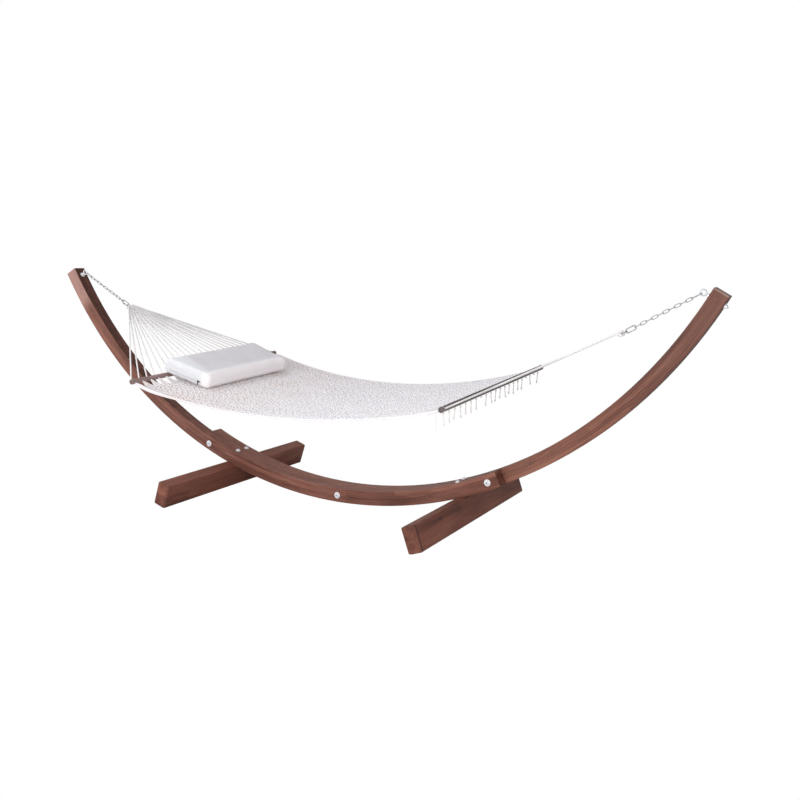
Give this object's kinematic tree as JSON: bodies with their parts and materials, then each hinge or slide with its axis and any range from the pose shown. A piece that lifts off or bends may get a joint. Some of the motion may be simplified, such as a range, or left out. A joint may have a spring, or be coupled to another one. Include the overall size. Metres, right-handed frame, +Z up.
{
  "type": "hammock on stand",
  "caption": "Curved timber stand on two cross feet carrying a rope hammock with spreader bars, chains, snap hooks and a loose pillow.",
  "frame": {"origin": "on the floor under the middle of the stand", "axes": "+X along the arc towards the far beam's tip, +Y from the near beam to the far beam, +Z up"},
  "size_m": [4.0836, 1.2098, 1.2532],
  "materials": {
    "stained_timber": "stained and oiled, satin",
    "turned_wood": "stained, satin",
    "zinc_steel": "zinc plated",
    "net_rope": "soft spun cotton rope",
    "white_rope": "twisted cotton rope",
    "pillow_fabric": "woven cotton, matt",
    "pillow_filling": "polyester wadding",
    "zip_tape": "woven tape",
    "zip_metal": "dark enamel"
  },
  "bodies": {
    "stand": {"arc_bolt_nuts": "zinc_steel", "arc_bolt_washers": "zinc_steel", "arc_bolts": "zinc_steel", "eye_bolt_nuts": "zinc_steel", "eye_bolt_washers": "zinc_steel", "far_arc_beam": "stained_timber", "foot_bolt_nuts": "zinc_steel", "foot_bolt_washers": "zinc_steel", "foot_bolts": "zinc_steel", "left_eye_bolt": "zinc_steel", "left_foot": "stained_timber", "near_arc_beam": "stained_timber", "right_eye_bolt": "zinc_steel", "right_foot": "stained_timber"},
    "hammock": {"bar_knots": "white_rope", "bed": "net_rope", "corner_tail": "white_rope", "far_edge_rope": "white_rope", "left_bed_lacing": "white_rope", "left_chain": "zinc_steel", "left_clew_ring": "zinc_steel", "left_clew_ropes": "white_rope", "left_hook_pin": "zinc_steel", "left_quick_link": "zinc_steel", "left_snap_hook": "zinc_steel", "left_spreader_bar": "turned_wood", "near_edge_rope": "white_rope", "neck_loops": "white_rope", "right_bed_lacing": "white_rope", "right_chain": "zinc_steel", "right_clew_ring": "zinc_steel", "right_clew_ropes": "white_rope", "right_hook_pin": "zinc_steel", "right_quick_link": "zinc_steel", "right_snap_hook": "zinc_steel", "right_spreader_bar": "turned_wood", "rope_tails": "white_rope"},
    "left_gate": {"left_hook_gate": "zinc_steel"},
    "right_gate": {"right_hook_gate": "zinc_steel"},
    "pillow": {"pillow_cover": "pillow_fabric", "pillow_filling": "pillow_filling", "pillow_zip": "zip_tape", "zip_slider": "zip_metal"}
  },
  "joints": [
    {"name": "hammock_swing", "type": "hinge", "parent": "stand", "child": "hammock", "pos_m": [0, 0, 1.22275], "axis": [0.9998, 0.0192, 0], "range_deg": [-18, 18]},
    {"name": "left_gate_hinge", "type": "hinge", "parent": "hammock", "child": "left_gate", "pos_m": [-1.60923, -0.02506, 1.04166], "axis": [0.0383, -0.9993, 0], "range_deg": [0, 20], "stiffness_Nm_per_rad": 0.03, "springref_deg": -11.46},
    {"name": "right_gate_hinge", "type": "hinge", "parent": "hammock", "child": "right_gate", "pos_m": [1.60922, 0.02536, 1.04166], "axis": [-0.0373, 0.9993, 0], "range_deg": [0, 20], "stiffness_Nm_per_rad": 0.03, "springref_deg": -11.46},
    {"name": "pillow_lift", "type": "slide", "parent": "hammock", "child": "pillow", "axis": [0.2955, -0.035, 0.9547], "range_m": [0, 0.2]}
  ]
}
